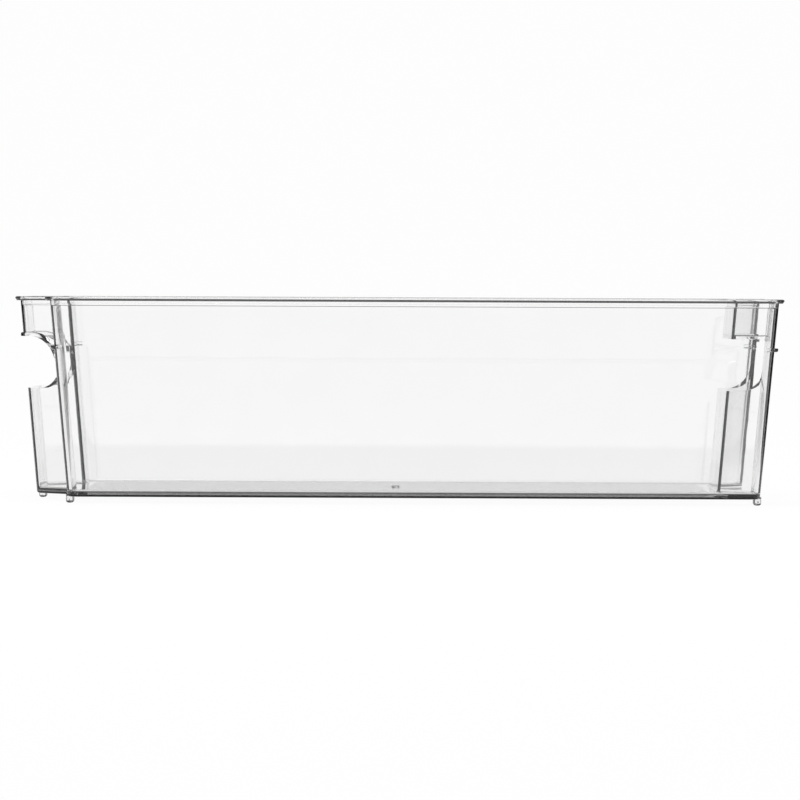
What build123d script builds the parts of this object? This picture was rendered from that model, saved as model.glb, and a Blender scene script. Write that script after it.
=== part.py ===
from build123d import *
import math
import os

# Open fridge bin, one clear moulding, in millimetres.
# Its frame: X runs along the bin, with the standing-out handle bay at minus X and the recess at plus X.
# Z is up, and the origin is under the middle of the bin, where its feet stand.

# Overall size, over the rim
box_length = 375.0
box_width = 200.0
box_height = 100.0

# The shell
wall = 2.2
floor_thickness = 2.5
draft_angle = 5.0
corner_radius = 6.0
bend_radius = 4.0

# The rim flange
rim_overhang = 2.6
rim_thickness = 2.0

# The handle bay at one end and the recess at the other, in plan
bay_depth = 17.5
recess_depth = 16.5
bay_mouth_width = 116.0
bay_face_width = 78.0

# The grip openings through both ends
front_grip_width = 113.0
rear_grip_width = 121.0
grip_drop = 19.6
grip_height = 25.4
front_grip_top_radius = 12.2
front_grip_low_radius = 12.7
rear_grip_top_radius = 3.0
rear_grip_low_radius = 13.0

# The lip along the upper edge of each grip opening
lip_thickness = 2.0
lip_stand_out = 1.3

# The small lugs on the four corners
lug_drop = 24.5
lug_thickness = 1.9
lug_stand_out = 1.8
lug_side_reach = 4.0
lug_end_reach = 8.0

# The feet
foot_height = 3.1
foot_width = 3.8
foot_stand_out = 0.8
foot_length = 10.0

# The anti-slip ribs moulded on the floor, and the gate mark in its middle
rib_width = 0.8
rib_height = 0.4
rib_pitch = 3.6
rib_margin = 5.0
gate_diameter = 4.0
gate_height = 1.0

# Heights worked out from the sizes above
floor_top = foot_height + floor_thickness
rim_underside = box_height - rim_thickness
grip_top = box_height - grip_drop
grip_bottom = grip_top - grip_height

# Places of the outer wall surfaces under the rim
lean = math.tan(math.radians(draft_angle))
front_x = -box_length / 2 + rim_overhang + bay_depth
rear_x = box_length / 2 - rim_overhang
side_y = box_width / 2 - rim_overhang
foot_lean = (rim_underside - foot_height) * lean

# How far a corner post reaches along the walls that it joins
corner_span = foot_lean + wall + corner_radius
# The smallest radius that a tight bend keeps
least_radius = 0.4


def lean_at(z):
    """How far the leaning walls have moved inwards at a height."""
    return (rim_underside - z) * lean


def outline(z, depth):
    """The plan outline at a height, so far inside the outer wall surface (outside it when negative)."""
    inset = lean_at(z) + depth
    mouth = bay_mouth_width / 2
    face = bay_face_width / 2
    bay_turn = math.atan2(bay_depth, mouth - face)
    recess_turn = math.atan2(recess_depth, mouth - face)
    bay_shift = inset * math.tan(bay_turn / 2)
    recess_shift = inset * math.tan(recess_turn / 2)
    half = [
        (front_x - bay_depth + inset, face - bay_shift, bend_radius - depth),
        (front_x + inset, mouth - bay_shift, bend_radius - wall + depth),
        (front_x + inset, side_y - inset, corner_radius - depth),
        (rear_x - inset, side_y - inset, corner_radius - depth),
        (rear_x - inset, mouth + recess_shift, bend_radius - depth),
        (rear_x - recess_depth - inset, face + recess_shift, bend_radius - wall + depth),
    ]
    other_half = [(x, -y, radius) for x, y, radius in reversed(half)]
    corners = half + other_half
    path = FilletPolyline(
        [(x, y, z) for x, y, _ in corners],
        radius=[max(radius, least_radius) for _, _, radius in corners],
        close=True,
    )
    return Face(Wire(path.edges()))


def slab(low, high, depth):
    """All of the bin's plan between two heights, so far inside the outer wall surface."""
    return Solid.make_loft([outline(low, depth).outer_wire(), outline(high, depth).outer_wire()], ruled=True)


def box_between(low, high):
    """A box from its lowest to its highest corner."""
    size = [h - l for l, h in zip(low, high)]
    middle = [(h + l) / 2 for l, h in zip(low, high)]
    return Pos(*middle) * Box(*size)


def grip_rounds(top_radius, low_radius):
    """The two radii at a side of a grip opening, limited by the height that they share."""
    share = min(1.0, (grip_height - least_radius) / (top_radius + low_radius))
    return top_radius * share, low_radius * share


def grip_split(top_radius, low_radius):
    """The height between the two rounds of a grip opening, where the band and the wall below it part."""
    top_round, low_round = grip_rounds(top_radius, low_radius)
    return (grip_top - top_round + grip_bottom + low_round) / 2


def grip_cut(width, top_radius, low_radius, x_low, x_high, grow=0.0):
    """The rounded grip opening as a bar along X, grown all round by a width."""
    half = width / 2 + grow
    low = grip_bottom - grow
    high = grip_top + grow
    top_round, low_round = grip_rounds(top_radius, low_radius)
    profile = FilletPolyline(
        [(x_low, -half, low), (x_low, half, low), (x_low, half, high), (x_low, -half, high)],
        radius=[low_round + grow, low_round + grow, top_round + grow, top_round + grow],
        close=True,
    )
    return extrude(Face(Wire(profile.edges())), amount=x_high - x_low, dir=(1, 0, 0))


def as_solids(shape):
    """The solids of a shape, as one compound when there are several."""
    solids = list(shape.solids())
    return solids[0] if len(solids) == 1 else Compound(solids)


def write(name, shape):
    """Writes one sub-part under its own name."""
    shape = as_solids(shape)
    shape.label = name
    export_step(shape, f"parts/{name}.step")
    return shape.volume


# Limits of the regions, a little past the bin where they are open
past = 20.0
far_front = -box_length / 2 - past
far_rear = box_length / 2 + past
far_side = box_width / 2 + past
corner_side = side_y - corner_span
front_split = front_x + corner_span
rear_split = rear_x - corner_span
recess_split = rear_x - recess_depth - foot_lean - 2 * wall
front_end = (far_front, front_split)
rear_end = (rear_split, far_rear)
recess_end = (recess_split, far_rear)


def region(x_range, y_range, z_range):
    """A box over ranges of X, Y and Z."""
    return box_between(
        (x_range[0], y_range[0], z_range[0]),
        (x_range[1], y_range[1], z_range[1]),
    )


def make_walls():
    """The leaning walls between the floor and the rim, with both grip openings cut."""
    walls = slab(floor_top, rim_underside, 0) - slab(floor_top, rim_underside, wall)
    front_cut = grip_cut(
        front_grip_width, front_grip_top_radius, front_grip_low_radius, far_front, front_split
    )
    rear_cut = grip_cut(
        rear_grip_width, rear_grip_top_radius, rear_grip_low_radius, recess_split, far_rear
    )
    return walls - front_cut - rear_cut


def make_floor():
    """The flat floor, over the whole plan."""
    return slab(foot_height, floor_top, 0)


def make_rim():
    """The flat rim flange all round, on top of the walls."""
    ring = extrude(outline(rim_underside, -rim_overhang), amount=rim_thickness, dir=(0, 0, 1))
    return ring - slab(rim_underside, box_height, wall)


def make_lip(width, top_radius, low_radius, x_range):
    """The small lip that stands out along the upper edge of a grip opening."""
    low = grip_split(top_radius, low_radius)
    skin = slab(low, rim_underside, -lip_stand_out) - slab(low, rim_underside, 0)
    strip = grip_cut(width, top_radius, low_radius, *x_range, grow=lip_thickness)
    strip = strip - grip_cut(width, top_radius, low_radius, *x_range)
    return skin & strip & region(x_range, (-width / 2, width / 2), (low, rim_underside))


def make_lug(end, side):
    """A short ridge round one corner; end and side are the signs of its X and Y."""
    height = box_height - lug_drop
    low, high = height - lug_thickness / 2, height + lug_thickness / 2
    skin = slab(low, high, -lug_stand_out) - slab(low, high, 0)
    wall_x = front_x + lean_at(height) if end < 0 else rear_x - lean_at(height)
    wall_y = side_y - lean_at(height)
    x_range = sorted([wall_x - end * lug_side_reach, wall_x + end * past])
    y_range = sorted([side * (wall_y - lug_end_reach), side * (wall_y + past)])
    return skin & region(x_range, y_range, (low, high))


def make_foot(x, y):
    """A small pad with round ends, standing across the bin."""
    return Pos(x, y, 0) * extrude(SlotOverall(foot_length, foot_width, rotation=90), amount=foot_height)


def make_ribs():
    """Low slanting ribs over the floor's rectangle, clear of the walls and the gate mark."""
    margin = foot_lean + wall + rib_margin
    low_x, high_x = front_x + margin, rear_x - recess_depth - margin
    high_y = side_y - margin
    field = Pos((low_x + high_x) / 2, 0) * Rectangle(high_x - low_x, 2 * high_y)
    field = field - Circle(gate_diameter / 2 + rib_width)
    pitch_along = rib_pitch * math.sqrt(2)
    first = math.ceil((low_x - high_y) / pitch_along)
    last = math.floor((high_x + high_y) / pitch_along)
    bars = [
        Pos(n * pitch_along, 0) * Rectangle(4 * high_y, rib_width, rotation=45)
        for n in range(first, last + 1)
    ]
    pieces = [face for bar in bars for face in (field & bar).faces()]
    return Compound([Pos(0, 0, floor_top) * extrude(face, amount=rib_height, dir=(0, 0, 1)) for face in pieces])


def make_gate_mark():
    """The round stub where the plastic was fed in, in the middle of the floor."""
    return Pos(0, 0, floor_top) * extrude(Circle(gate_diameter / 2), amount=gate_height)


os.makedirs("parts", exist_ok=True)

walls = make_walls()
rim = make_rim()
wall_heights = (floor_top - wall, rim_underside + wall)
volumes = {}

volumes["floor_panel"] = write("floor_panel", make_floor())
volumes["floor_grip_ribs"] = write("floor_grip_ribs", make_ribs())
volumes["gate_mark"] = write("gate_mark", make_gate_mark())

for name, side in (("near", -1), ("far", 1)):
    along = (front_split, rear_split)
    outer_band = sorted([side * corner_side, side * far_side])
    wall_piece = walls & region(along, outer_band, wall_heights)
    volumes[f"{name}_side_wall"] = write(f"{name}_side_wall", wall_piece)
    rim_piece = rim & region(along, outer_band, wall_heights)
    volumes[f"{name}_rim"] = write(f"{name}_rim", rim_piece)
    for end_name, end, x_range, grip_width in (
        ("front", -1, front_end, front_grip_width),
        ("rear", 1, rear_end, rear_grip_width),
    ):
        beside_grip = sorted([side * grip_width / 2, side * far_side])
        post = f"{end_name}_{name}_corner"
        volumes[post] = write(post, walls & region(x_range, beside_grip, wall_heights))
        lug = f"{end_name}_{name}_lug"
        volumes[lug] = write(lug, make_lug(end, side))
        foot = f"{end_name}_{name}_foot"
        end_wall = front_x + foot_lean if end < 0 else rear_x - foot_lean
        foot_x = end_wall - end * (foot_width / 2 - foot_stand_out)
        foot_y = side * (side_y - foot_lean - corner_radius - foot_length / 2)
        volumes[foot] = write(foot, make_foot(foot_x, foot_y))

face_foot_x = front_x - bay_depth + foot_lean + foot_width / 2 - foot_stand_out
volumes["front_centre_foot"] = write("front_centre_foot", make_foot(face_foot_x, 0))

for end_name, x_range, grip_width, top_radius, low_radius in (
    ("front", front_end, front_grip_width, front_grip_top_radius, front_grip_low_radius),
    ("rear", recess_end, rear_grip_width, rear_grip_top_radius, rear_grip_low_radius),
):
    grip_span = (-grip_width / 2, grip_width / 2)
    split = grip_split(top_radius, low_radius)
    low_wall = walls & region(x_range, grip_span, (floor_top - wall, split))
    volumes[f"{end_name}_handle_wall"] = write(f"{end_name}_handle_wall", low_wall)
    band = walls & region(x_range, grip_span, (split, rim_underside + wall))
    volumes[f"{end_name}_grip_band"] = write(f"{end_name}_grip_band", band)
    lip = make_lip(grip_width, top_radius, low_radius, x_range)
    volumes[f"{end_name}_grip_lip"] = write(f"{end_name}_grip_lip", lip)

all_sides = (-far_side, far_side)
inner_sides = (-corner_side, corner_side)
volumes["front_rim"] = write("front_rim", rim & region(front_end, all_sides, wall_heights))
rear_rim = (rim & region(rear_end, all_sides, wall_heights)) + (
    rim & region((recess_split, rear_split), inner_sides, wall_heights)
)
volumes["rear_rim"] = write("rear_rim", rear_rim)

shell_parts = [n for n in volumes if "wall" in n or "corner" in n or "band" in n]
print("walls whole", round(walls.volume, 1), "in parts", round(sum(volumes[n] for n in shell_parts), 1))
rim_parts = sum(v for n, v in volumes.items() if n.endswith("rim"))
print("rim whole", round(rim.volume, 1), "in parts", round(rim_parts, 1))
print("plastic in all, cm3", round(sum(volumes.values()) / 1000, 1))
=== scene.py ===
import math

import bmesh
import bpy
from mathutils import Euler, Matrix, Vector


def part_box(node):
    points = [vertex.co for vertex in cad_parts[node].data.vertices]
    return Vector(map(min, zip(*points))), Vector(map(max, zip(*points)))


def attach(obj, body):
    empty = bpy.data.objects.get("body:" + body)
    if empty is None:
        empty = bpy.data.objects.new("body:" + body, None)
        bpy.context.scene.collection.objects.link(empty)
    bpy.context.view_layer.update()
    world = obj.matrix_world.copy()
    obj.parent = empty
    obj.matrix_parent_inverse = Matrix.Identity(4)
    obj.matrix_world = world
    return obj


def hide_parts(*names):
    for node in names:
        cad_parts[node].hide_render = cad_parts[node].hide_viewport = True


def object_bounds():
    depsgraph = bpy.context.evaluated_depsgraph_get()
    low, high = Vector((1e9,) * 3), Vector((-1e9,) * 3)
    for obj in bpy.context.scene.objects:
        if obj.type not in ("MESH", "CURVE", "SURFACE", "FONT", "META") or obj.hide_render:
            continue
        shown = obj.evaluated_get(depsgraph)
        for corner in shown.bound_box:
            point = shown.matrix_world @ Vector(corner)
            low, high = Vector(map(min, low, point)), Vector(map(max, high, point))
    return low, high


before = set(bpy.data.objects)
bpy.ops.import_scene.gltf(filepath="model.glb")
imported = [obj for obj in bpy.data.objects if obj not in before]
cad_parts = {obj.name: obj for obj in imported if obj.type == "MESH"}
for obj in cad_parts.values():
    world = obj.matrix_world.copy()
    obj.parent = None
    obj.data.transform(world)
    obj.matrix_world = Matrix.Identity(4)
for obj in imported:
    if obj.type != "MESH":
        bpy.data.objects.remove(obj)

cad_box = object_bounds()

# The bin is one clear injection moulding. Its walls lean out towards the rim, the end at minus X
# stands out as a handle bay, and the end at plus X has a recess of the same plan.
low_corner, high_corner = cad_box
floor_low, floor_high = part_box("floor_panel")
rim_low, rim_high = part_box("near_rim")
wall_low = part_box("near_side_wall")[0]
foot_height = floor_low.z
floor_top = floor_high.z
rim_underside = rim_low.z
rim_top = rim_high.z
side_y = -wall_low.y
rim_overhang = high_corner.y - side_y
bay_depth = 0.0175
recess_depth = 0.0165
front_x = low_corner.x + rim_overhang + bay_depth
rear_x = high_corner.x - rim_overhang
mouth_y = 0.058
face_y = 0.039
wall = 0.0022
lean = math.tan(math.radians(5))
corner_radius = 0.006
bend_radius = 0.004
least_radius = 0.0004
degrees_per_facet = 6
heel_round = 0.0012
round_steps = 4
tiny = 0.00001
flat_within = math.radians(0.1)


def pick_edges(test):
    """Selects the edges of the piece in edit mode that a test is true for."""
    bpy.ops.mesh.select_mode(type="EDGE")
    bpy.ops.mesh.select_all(action="DESELECT")
    data = bpy.context.edit_object.data
    mesh = bmesh.from_edit_mesh(data)
    for edge in mesh.edges:
        edge.select_set(test(edge))
    bmesh.update_edit_mesh(data)


def round_edges(test, width, steps=round_steps):
    """Rounds the edges of the piece in edit mode that a test is true for."""
    pick_edges(test)
    bpy.ops.mesh.bevel(offset=width, segments=steps, affect="EDGES", clamp_overlap=False)


def level_at(z):
    """A test for an edge that lies at a height."""
    return lambda edge: all(abs(v.co.z - z) < tiny for v in edge.verts)


def upright_at(x, y):
    """A test for a leaning upright edge whose upper end stands at a place in plan."""

    def test(edge):
        low, high = sorted((v.co for v in edge.verts), key=lambda co: co.z)
        upright = high.z - low.z > tiny
        return upright and abs(high.x - x) < tiny and abs(abs(high.y) - y) < tiny

    return test


def plan_block(name, low, high, depth, bottom_round=0.0, slope=lean):
    """A solid block over the bin's plan, its sides so far inside the outer wall surface."""
    top = (rim_underside - high) * lean + depth
    bay_turn = math.atan2(bay_depth, mouth_y - face_y)
    recess_turn = math.atan2(recess_depth, mouth_y - face_y)
    left = front_x + top
    right = rear_x - top
    side = side_y - top
    bay_mouth, bay_face = (y - top * math.tan(bay_turn / 2) for y in (mouth_y, face_y))
    recess_mouth, recess_face = (y + top * math.tan(recess_turn / 2) for y in (mouth_y, face_y))
    bpy.ops.object.select_all(action="DESELECT")
    bpy.ops.mesh.primitive_plane_add(size=1, location=((left + right) / 2, 0, high))
    piece = bpy.context.object
    piece.name = name
    piece.scale = (right - left, 2 * side, 1)
    bpy.ops.object.transform_apply(location=True, rotation=True, scale=True)
    bpy.ops.object.mode_set(mode="EDIT")
    for y in (bay_mouth, bay_face, recess_mouth, recess_face):
        for place in (-y, y):
            bpy.ops.mesh.select_all(action="SELECT")
            bpy.ops.mesh.bisect(plane_co=(0, place, 0), plane_no=(0, 1, 0))
    ends = (
        (left, bay_depth, bay_face, bay_mouth),
        (right, recess_depth, recess_face, recess_mouth),
    )
    for x, shift, face, mouth in ends:
        pick_edges(lambda e: all(abs(v.co.x - x) < tiny and abs(v.co.y) < face + tiny for v in e.verts))
        bpy.ops.transform.translate(value=(-shift, 0, 0))
        mesh = bmesh.from_edit_mesh(piece.data)
        for v in mesh.verts:
            between = face + tiny < abs(v.co.y) < mouth - tiny
            if abs(v.co.x - x) < tiny and between:
                v.co.x -= shift * (mouth - abs(v.co.y)) / (mouth - face)
        bmesh.update_edit_mesh(piece.data)
    bpy.ops.mesh.select_mode(type="FACE")
    bpy.ops.mesh.select_all(action="SELECT")
    bpy.ops.mesh.dissolve_limited(angle_limit=flat_within)
    bpy.ops.mesh.select_all(action="SELECT")
    bpy.ops.mesh.inset(thickness=(high - low) * slope, depth=low - high)
    pick_edges(lambda e: e.is_boundary)
    bpy.ops.mesh.edge_face_add()
    bpy.ops.mesh.select_all(action="SELECT")
    bpy.ops.mesh.normals_make_consistent(inside=False)
    inner_bend = bend_radius - wall
    uprights = (
        (left, side, math.pi / 2, corner_radius - depth),
        (right, side, math.pi / 2, corner_radius - depth),
        (left, bay_mouth, bay_turn, inner_bend + depth),
        (left - bay_depth, bay_face, bay_turn, bend_radius - depth),
        (right, recess_mouth, recess_turn, bend_radius - depth),
        (right - recess_depth, recess_face, recess_turn, inner_bend + depth),
    )
    for x, y, turn, radius in uprights:
        width = max(radius, least_radius) * math.tan(turn / 2)
        round_edges(upright_at(x, y), width, round(math.degrees(turn) / degrees_per_facet))
    if bottom_round:
        round_edges(level_at(low), bottom_round)
    bpy.ops.object.mode_set(mode="OBJECT")
    return piece


def combine(piece, tool, operation):
    """Joins a solid to the piece, or cuts it away, and removes the tool."""
    bpy.ops.object.select_all(action="DESELECT")
    bpy.context.view_layer.objects.active = piece
    piece.select_set(True)
    bpy.ops.object.modifier_add(type="BOOLEAN")
    modifier = piece.modifiers[-1]
    modifier.operation = operation
    modifier.solver = "EXACT"
    modifier.object = tool
    bpy.ops.object.modifier_apply(modifier=modifier.name)
    bpy.data.objects.remove(tool)


def region(name, low, high):
    """A plain box between two corners, to cut or keep a part of another solid."""
    bpy.ops.object.select_all(action="DESELECT")
    bpy.ops.mesh.primitive_cube_add(size=1, location=[(a + b) / 2 for a, b in zip(low, high)])
    piece = bpy.context.object
    piece.name = name
    piece.scale = [b - a for a, b in zip(low, high)]
    bpy.ops.object.transform_apply(location=True, rotation=True, scale=True)
    return piece


# The walls and the floor start as one solid block, rounded a little where they meet underneath.
# The inside is cut out at the end, when the rim, lips, lugs and feet are on.
block_top = (rim_underside + rim_top) / 2
clear_bin = plan_block("clear_bin", foot_height, block_top, 0.0, bottom_round=heel_round)

# The rim is a flat flange all round, 2 mm thick, with its upper edge rounded over in the mould and
# its lower edge sloping in. It follows the handle bay and the recess in plan.
rim_face = 0.00095
rim_round = 0.00075
rim_slope = 0.6
rim_thickness = rim_top - rim_underside
rim_middle = rim_top - rim_face
for name, low, high, slope in (
    ("rim", rim_middle, rim_top, tiny),
    ("rim_under", rim_underside, rim_middle, rim_slope),
):
    rim = plan_block(name, low, high, (high - rim_underside) * lean - rim_overhang, slope=slope)
    if high == rim_top:
        bpy.ops.object.mode_set(mode="EDIT")
        round_edges(level_at(rim_top), rim_round)
        bpy.ops.object.mode_set(mode="OBJECT")
    combine(clear_bin, rim, "UNION")

# A hand goes through each end. The openings are wide slots with rounded corners, and a small lip
# stands out along the upper edge of each, where the fingers pull.
grip_top = rim_top - 0.0196
grip_bottom = grip_top - 0.0254
grip_steps = 14
front_half_width = 0.0565
front_top_radius = 0.0122
front_low_radius = 0.0127
rear_half_width = 0.0605
rear_top_radius = 0.003
rear_low_radius = 0.013
lip_thickness = 0.002
lip_stand_out = 0.0013
lip_round = 0.00095
upright_slope = 0.2
level_slope = 0.7
past = 0.02
recess_inside = rear_x - recess_depth - (rim_underside - foot_height) * lean - 2 * wall
front_span = (low_corner.x - past, front_x + past)
rear_span = (recess_inside, high_corner.x + past)


def grip_bar(name, span, half_width, top_radius, low_radius, grow):
    """A bar along X of the grip opening's shape, larger all round by a width."""
    half = half_width + grow
    piece = region(name, (span[0], -half, grip_bottom - grow), (span[1], half, grip_top + grow))
    bpy.ops.object.mode_set(mode="EDIT")
    for z, radius in ((grip_bottom - grow, low_radius), (grip_top + grow, top_radius)):
        level = level_at(z)
        round_edges(lambda e: level(e) and e.verts[0].co.y == e.verts[1].co.y, radius + grow, grip_steps)
    bpy.ops.object.mode_set(mode="OBJECT")
    return piece


def turns_out(edge):
    """Whether an edge lies between a level face and an upright one."""
    slopes = sorted(abs(face.normal.z) for face in edge.link_faces)
    return len(slopes) == 2 and slopes[0] < upright_slope and slopes[1] > level_slope


grips = (
    ("front", front_span, front_half_width, front_top_radius, front_low_radius),
    ("rear", rear_span, rear_half_width, rear_top_radius, rear_low_radius),
)
for end, span, half_width, top_radius, low_radius in grips:
    lip = plan_block(f"{end}_lip", grip_bottom, grip_top + lip_thickness * 2, -lip_stand_out)
    bar = grip_bar(f"{end}_lip_bar", span, half_width, top_radius, low_radius, lip_thickness)
    combine(lip, bar, "INTERSECT")
    bpy.ops.object.mode_set(mode="EDIT")
    round_edges(turns_out, lip_round)
    bpy.ops.object.mode_set(mode="OBJECT")
    split = (grip_top - top_radius + grip_bottom + low_radius) / 2
    keep = region(f"{end}_lip_keep", (span[0], -half_width, split), (span[1], half_width, rim_underside))
    combine(lip, keep, "INTERSECT")
    combine(clear_bin, lip, "UNION")

# Four short ridges sit on the corners, a thumb's width under the rim, and keep stacked bins apart.
# Each is 1.9 mm thick and wraps its corner, standing a little proud.
lug_height = rim_top - 0.0245
lug_thickness = 0.0019
lug_stand_out = 0.0018
lug_side_reach = 0.004
lug_end_reach = 0.008
lug_round = 0.0006
lug_steps = 3
lug_low = lug_height - lug_thickness / 2
lug_high = lug_height + lug_thickness / 2
lug_inset = (rim_underside - lug_height) * lean
for end, side in ((-1, -1), (-1, 1), (1, -1), (1, 1)):
    lug = plan_block("lug", lug_low, lug_high, -lug_stand_out)
    bpy.ops.object.mode_set(mode="EDIT")
    round_edges(lambda e: abs(e.verts[0].co.z - e.verts[1].co.z) < tiny, lug_round, lug_steps)
    bpy.ops.object.mode_set(mode="OBJECT")
    corner_x = front_x + lug_inset if end < 0 else rear_x - lug_inset
    corner_y = side_y - lug_inset
    xs = sorted([corner_x - end * lug_side_reach, corner_x + end * past])
    ys = sorted([side * (corner_y - lug_end_reach), side * (corner_y + past)])
    keep = region("lug_keep", (xs[0], ys[0], lug_low - past), (xs[1], ys[1], lug_high + past))
    combine(lug, keep, "INTERSECT")
    combine(clear_bin, lug, "UNION")

# The bin stands on small pads with round ends, one under each corner and one under the handle bay.
# They are part of the same moulding.
foot_sink = 0.001
foot_round = 0.0012
foot_end_steps = 8
nearly_all = 0.999
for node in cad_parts:
    if node.endswith("_foot"):
        low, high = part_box(node)
        foot = region("foot", low, (high.x, high.y, high.z + foot_sink))
        end_radius = (high.x - low.x) / 2 * nearly_all
        bpy.ops.object.mode_set(mode="EDIT")
        round_edges(lambda e: abs(e.verts[0].co.z - e.verts[1].co.z) > tiny, end_radius, foot_end_steps)
        round_edges(level_at(low.z), foot_round)
        bpy.ops.object.mode_set(mode="OBJECT")
        combine(clear_bin, foot, "UNION")

# The inside is one core of the mould. It leaves walls of 2.2 mm, and a shallow step close under
# the rim where the wall runs into the flange.
core_round = 0.0012
step_drop = 0.0043
step_depth = 0.0006
step_round = 0.0004
core_top = rim_top + rim_thickness
core = plan_block("core", floor_top, core_top, wall, bottom_round=core_round)
combine(clear_bin, core, "DIFFERENCE")
step = plan_block("step", rim_top - step_drop, core_top, wall - step_depth, bottom_round=step_round)
combine(clear_bin, step, "DIFFERENCE")
for end, span, half_width, top_radius, low_radius in grips:
    opening = grip_bar(f"{end}_grip", span, half_width, top_radius, low_radius, 0)
    combine(clear_bin, opening, "DIFFERENCE")

# Low rounded ribs slant across the floor and keep things from sliding. They are cut across the
# mould's core, so they share one height. It is less than in the CAD, because taller ribs trap the
# light at a low angle and turn the floor black.
rib_width = 0.0016
rib_rise = 0.00006
rib_pitch = 0.0036
rib_sink = 0.0003
rib_slant = math.radians(45)
rib_sides = 120
clearing_sides = 24
ribs_low, ribs_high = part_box("floor_grip_ribs")
gate_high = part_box("gate_mark")[1]
ribs_high.z = floor_top + rib_rise
rib_step = rib_pitch * math.sqrt(2)
rib_height = ribs_high.z - floor_top
rib_radius = (rib_width**2 / 4 + rib_height**2) / (2 * rib_height)
rib_length = 4 * ribs_high.y
first = math.ceil((ribs_low.x - ribs_high.y) / rib_step)
last = math.floor((ribs_high.x + ribs_high.y) / rib_step)


def round_bar(name, sides, radius, depth, middle, turn=0.0):
    """A round bar, upright or turned about Y."""
    bpy.ops.object.select_all(action="DESELECT")
    bpy.ops.mesh.primitive_cylinder_add(
        vertices=sides, radius=radius, depth=depth, location=middle, rotation=(0, turn, 0)
    )
    piece = bpy.context.object
    piece.name = name
    bpy.ops.object.transform_apply(location=True, rotation=True, scale=True)
    return piece


rib_middle = (0, 0, ribs_high.z - rib_radius)
rib = round_bar("ribs", rib_sides, rib_radius, rib_length, rib_middle, math.radians(90))
crown_low = (-rib_length, -rib_width, floor_top - rib_sink)
combine(rib, region("rib_crown", crown_low, (rib_length, rib_width, rim_top)), "INTERSECT")
rib.rotation_euler.z = rib_slant
rib.location.x += first * rib_step
bpy.ops.object.select_all(action="DESELECT")
rib.select_set(True)
bpy.context.view_layer.objects.active = rib
bpy.ops.object.transform_apply(location=True, rotation=True, scale=True)
bpy.ops.object.modifier_add(type="ARRAY")
row = rib.modifiers[-1]
row.count = last - first + 1
row.use_relative_offset = False
row.use_constant_offset = True
row.constant_offset_displace = (rib_step, 0, 0)
bpy.ops.object.modifier_apply(modifier=row.name)
field_low = (ribs_low.x, ribs_low.y, foot_height)
combine(rib, region("rib_field", field_low, (ribs_high.x, ribs_high.y, rim_top)), "INTERSECT")
clearing = round_bar(
    "clearing", clearing_sides, gate_high.x + rib_width, rim_top, (0, 0, rim_top / 2)
)
combine(rib, clearing, "DIFFERENCE")
combine(clear_bin, rib, "UNION")

# A round stub in the middle of the floor is where the plastic was fed in. It was nipped off
# short, with its edge rounded.
gate_sides = 32
gate_steps = 3
gate_depth = gate_high.z - floor_top + rib_sink
gate_middle = (0, 0, (gate_high.z + floor_top - rib_sink) / 2)
gate = round_bar("gate", gate_sides, gate_high.x, gate_depth, gate_middle)
bpy.ops.object.mode_set(mode="EDIT")
round_edges(level_at(gate_high.z), rib_sink, gate_steps)
bpy.ops.object.mode_set(mode="OBJECT")
combine(clear_bin, gate, "UNION")

# Level rings divide the tall faces close to the lugs and grips, so that the rounded corners shade
# evenly above and below them. They leave the shape as it is.
ring_gap = 0.0005
smooth_below = math.radians(28)
ring_heights = (
    grip_bottom - ring_gap,
    grip_bottom + front_low_radius + ring_gap,
    lug_low - ring_gap,
    lug_high + ring_gap,
    grip_top + lip_thickness + ring_gap,
)
bpy.ops.object.select_all(action="DESELECT")
clear_bin.select_set(True)
bpy.context.view_layer.objects.active = clear_bin
bpy.ops.object.mode_set(mode="EDIT")
for z in ring_heights:
    bpy.ops.mesh.select_all(action="SELECT")
    bpy.ops.mesh.bisect(plane_co=(0, 0, z), plane_no=(0, 0, 1))
bpy.ops.object.mode_set(mode="OBJECT")
bpy.ops.object.shade_smooth_by_angle(angle=smooth_below)
bpy.ops.object.modifier_add(type="WEIGHTED_NORMAL")
clear_bin.modifiers[-1].keep_sharp = True
bpy.ops.object.modifier_apply(modifier=clear_bin.modifiers[-1].name)

# The whole moulding has one finish: an uncoloured clear plastic with a polished mould surface. Its
# skin is very slightly wavy, the melt left faint flow marks, and thick parts take a little light.
clear_tint = (0.998, 0.998, 0.998, 1)
flow_tint = (0.98, 0.98, 0.98, 1)
thick_tint = (0.52, 0.52, 0.52, 1)
absorption_per_metre = 14.0
plastic_ior = 1.57
polish = 0.01
flow_haze = 0.02
flow_scale = 45.0
flow_detail = 2.0
wave_height = 0.0002
wave_strength = 0.15


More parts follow.
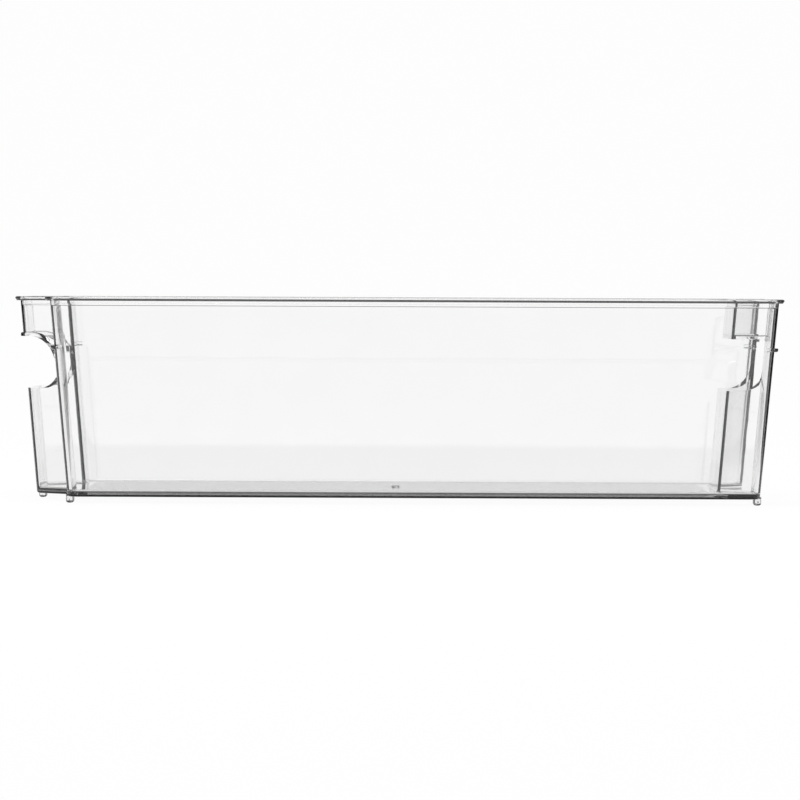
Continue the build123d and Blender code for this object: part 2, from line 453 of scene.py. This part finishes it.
class Finish:
    """One value in a material's nodes. Sums on it add Math nodes, and add makes any other node."""

    def __init__(self, tree, node=None, output=0):
        self.tree = tree
        self.node = node
        self.link = node.outputs[output] if node and node.outputs else None

    def __getitem__(self, output):
        return Finish(self.tree, self.node, output)

    def add(self, kind, settings=None, inputs=()):
        """Adds a node with its settings, then the values or links of its sockets."""
        node = self.tree.nodes.new(kind)
        for name, value in (settings or {}).items():
            setattr(node, name, value)
        sockets = inputs.items() if isinstance(inputs, dict) else enumerate(inputs)
        for name, value in sockets:
            if isinstance(value, Finish):
                self.tree.links.new(value.link, node.inputs[name])
            else:
                node.inputs[name].default_value = value
        return Finish(self.tree, node)

    def math(self, operation, *values):
        return self.add("ShaderNodeMath", {"operation": operation}, values)

    def most(self, other):
        return self.math("MAXIMUM", self, other)

    def least(self, other):
        return self.math("MINIMUM", self, other)

    def eased(self, limits, results):
        """A soft step of this value between two limits, from one result to the other."""
        return self.add(
            "ShaderNodeMapRange",
            {"interpolation_type": "SMOOTHSTEP"},
            {
                "Value": self,
                "From Min": limits[0],
                "From Max": limits[1],
                "To Min": results[0],
                "To Max": results[1],
            },
        )

    def __abs__(self):
        return self.math("ABSOLUTE", self)

    def __add__(self, other):
        return self.math("ADD", self, other)

    def __radd__(self, other):
        return self.math("ADD", other, self)

    def __sub__(self, other):
        return self.math("SUBTRACT", self, other)

    def __rsub__(self, other):
        return self.math("SUBTRACT", other, self)

    def __mul__(self, other):
        return self.math("MULTIPLY", self, other)

    def __rmul__(self, other):
        return self.math("MULTIPLY", other, self)

    def __truediv__(self, other):
        return self.math("DIVIDE", self, other)

    def __rtruediv__(self, other):
        return self.math("DIVIDE", other, self)


clear_plastic = bpy.data.materials.new("clear_plastic")
clear_plastic.use_nodes = True
clear_plastic.node_tree.nodes.clear()
plastic = Finish(clear_plastic.node_tree)
place = plastic.add("ShaderNodeTexCoord")["Object"]
flow = plastic.add(
    "ShaderNodeTexNoise", inputs={"Vector": place, "Scale": flow_scale, "Detail": flow_detail}
)
tint = plastic.add(
    "ShaderNodeMix", {"data_type": "RGBA"}, {"Factor": flow, "A": clear_tint, "B": flow_tint}
)["Result"]
wave = plastic.add(
    "ShaderNodeBump", inputs={"Height": flow, "Strength": wave_strength, "Distance": wave_height}
)
skin = plastic.add(
    "ShaderNodeBsdfPrincipled",
    inputs={
        "Base Color": tint,
        "Roughness": flow * flow_haze + polish,
        "IOR": plastic_ior,
        "Transmission Weight": 1.0,
        "Normal": wave,
    },
)
inside = plastic.add(
    "ShaderNodeVolumeAbsorption", inputs={"Color": thick_tint, "Density": absorption_per_metre}
)
plastic.add("ShaderNodeOutputMaterial", inputs={"Surface": skin, "Volume": inside})
clear_bin.data.materials.clear()
clear_bin.data.materials.append(clear_plastic)
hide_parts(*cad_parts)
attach(clear_bin, "root")

# The camera stands far off at the height of the rim, square to the long side. Its place and its
# angles, in degrees, bring the bin's corners to where the photo has them.
camera_place = (-0.00195, -3.046, 0.1048)
camera_down = 1.0496
camera_right = 0.075
camera_roll = 0.25
image_width = 800
focal_pixels = 6114
film_width = 36
camera_data = bpy.data.cameras.new("camera")
camera_data.sensor_width = film_width
camera_data.lens = focal_pixels / image_width * film_width
camera_data.clip_end = 100
camera = bpy.data.objects.new("camera", camera_data)
bpy.context.collection.objects.link(camera)
aim = Euler((math.radians(90 - camera_down), 0, math.radians(-camera_right))).to_matrix()
roll = Matrix.Rotation(math.radians(camera_roll), 3, "Z")
camera.matrix_world = Matrix.Translation(camera_place) @ (aim @ roll).to_4x4()
bpy.context.scene.camera = camera

# The floor is a wide white sweep. It gives off its own white where the camera, a reflection or the
# clear plastic looks at it, and the rest takes the bin's shadow. Its glow holds painted shade: it is
# darker under the bin, and a little darker within about a metre of it, where the plastic looks at it.
# To light that has bounced off or in the plastic it is white only before the sides and ends, as black
# cards round a set leave it.
sweep_size = 60
paper_white = (0.95, 0.95, 0.95, 1)
glow_white = (1, 1, 1, 1)
glow_share = 0.95
near_shade_reach = (0.93, 1.10)
near_shade_tone = (0.915, 1.0)
card_tone = (1.0, 0.03)
runner_edge = (0.24, 0.34)
runner_spread = 0.07
runner_front_share = 0.35
arm_edge = (0.12, 0.2)
under_half = (0.175, 0.09)
under_edge = (-0.01, 0.02)
under_shade_bounced = (0.35, 1.0)
under_shade_straight = 0.06
bpy.ops.object.select_all(action="DESELECT")
bpy.ops.mesh.primitive_plane_add(size=sweep_size, location=(0, 0, 0))
floor = bpy.context.object
floor.name = "studio_floor"
white = bpy.data.materials.new("studio_white")
white.use_nodes = True
white.node_tree.nodes.clear()
sweep = Finish(white.node_tree)
path = sweep.add("ShaderNodeLightPath")
by_camera = path["Is Camera Ray"]
by_plastic = path["Is Glossy Ray"].most(path["Is Transmission Ray"])
straight = 1 - path["Glossy Depth"].least(1)
place = sweep.add("ShaderNodeTexCoord")["Object"]
distance = sweep.add("ShaderNodeVectorMath", {"operation": "LENGTH"}, [place])["Value"]
plan = sweep.add("ShaderNodeSeparateXYZ", inputs=[place])
x, y = plan["X"], abs(plan["Y"])
runner = (x.most(x * -runner_front_share) - y * runner_spread).eased(runner_edge, card_tone)
arms = (y / abs(x)).eased(arm_edge, card_tone)
# Painted shadow: under the bin's footprint the floor's glow drops to 0.35 for bounced light, and a
# little for light straight through the plastic.
under = (abs(x) - under_half[0]).most(y - under_half[1]).eased(under_edge, under_shade_bounced)
bounced_tone = runner.most(arms) * under
straight_tone = straight * (under * under_shade_straight + (1 - under_shade_straight))
# Painted shade: within about a metre of the bin the floor's glow is a little darker where the plastic
# looks at it.
tone = distance.eased(near_shade_reach, near_shade_tone) * bounced_tone.most(straight_tone)
paper = sweep.add("ShaderNodeBsdfDiffuse", inputs={"Color": paper_white})
glow = sweep.add(
    "ShaderNodeEmission", inputs={"Color": glow_white, "Strength": by_camera + by_plastic * tone}
)
surface = sweep.add(
    "ShaderNodeMixShader", inputs=[(by_camera + by_plastic) * glow_share, paper, glow]
)
sweep.add("ShaderNodeOutputMaterial", inputs={"Surface": surface})
floor.data.materials.append(white)

# The room is white to the camera and lights the set evenly. Straight through the plastic it is white
# up to a dark ceiling. To light that has bounced it is white only before the sides and ends, and
# pale above.
room_white = 0.985
room_light = 0.8
ceiling_edge = (math.sin(math.radians(8)), math.sin(math.radians(12)))
ceiling_tone = (1.0, 0.04)
ceiling_bounced = 0.6
window_edge = (math.tan(math.radians(4.2)), math.tan(math.radians(7)))
window_front_share = 0.2
end_window_edge = (0.25, 0.4)
world = bpy.data.worlds.new("studio")
bpy.context.scene.world = world
world.use_nodes = True
world.node_tree.nodes.clear()
room = Finish(world.node_tree)
path = room.add("ShaderNodeLightPath")
by_camera = path["Is Camera Ray"]
by_plastic = path["Is Glossy Ray"].most(path["Is Transmission Ray"])
straight = 1 - path["Glossy Depth"].least(1)
way = room.add("ShaderNodeSeparateXYZ", inputs=[room.add("ShaderNodeTexCoord")["Generated"]])
x, y, up = way["X"], abs(way["Y"]), way["Z"]
behind = (x.most(x * -window_front_share) / y).eased(window_edge, card_tone)
beside = (y / abs(x)).eased(end_window_edge, card_tone)
low_down = up.eased(ceiling_edge, ceiling_tone)
wall_tone = low_down * behind.most(beside).most(straight)
tone = wall_tone + (1 - low_down) * (1 - straight) * ceiling_bounced
lights_set = 1 - by_camera.most(by_plastic)
strength = by_camera * room_white + by_plastic * tone + lights_set * room_light
around = room.add("ShaderNodeBackground", inputs={"Color": glow_white, "Strength": strength})
room.add("ShaderNodeOutputWorld", inputs={"Surface": around})

# One large soft lamp overhead gives the bin its glints and its shadow. The even room gives the
# rest of the light.
lamp_power = 12
lamp_size = 1.2
lamp_place = Vector((-0.5, -0.5, 1.6))
lamp_data = bpy.data.lights.new("overhead", "AREA")
lamp_data.energy = lamp_power
lamp_data.size = lamp_size
lamp = bpy.data.objects.new("overhead", lamp_data)
lamp.location = lamp_place
lamp.rotation_euler = lamp_place.to_track_quat("Z", "Y").to_euler()
bpy.context.collection.objects.link(lamp)

bpy.context.scene.view_settings.view_transform = "Standard"
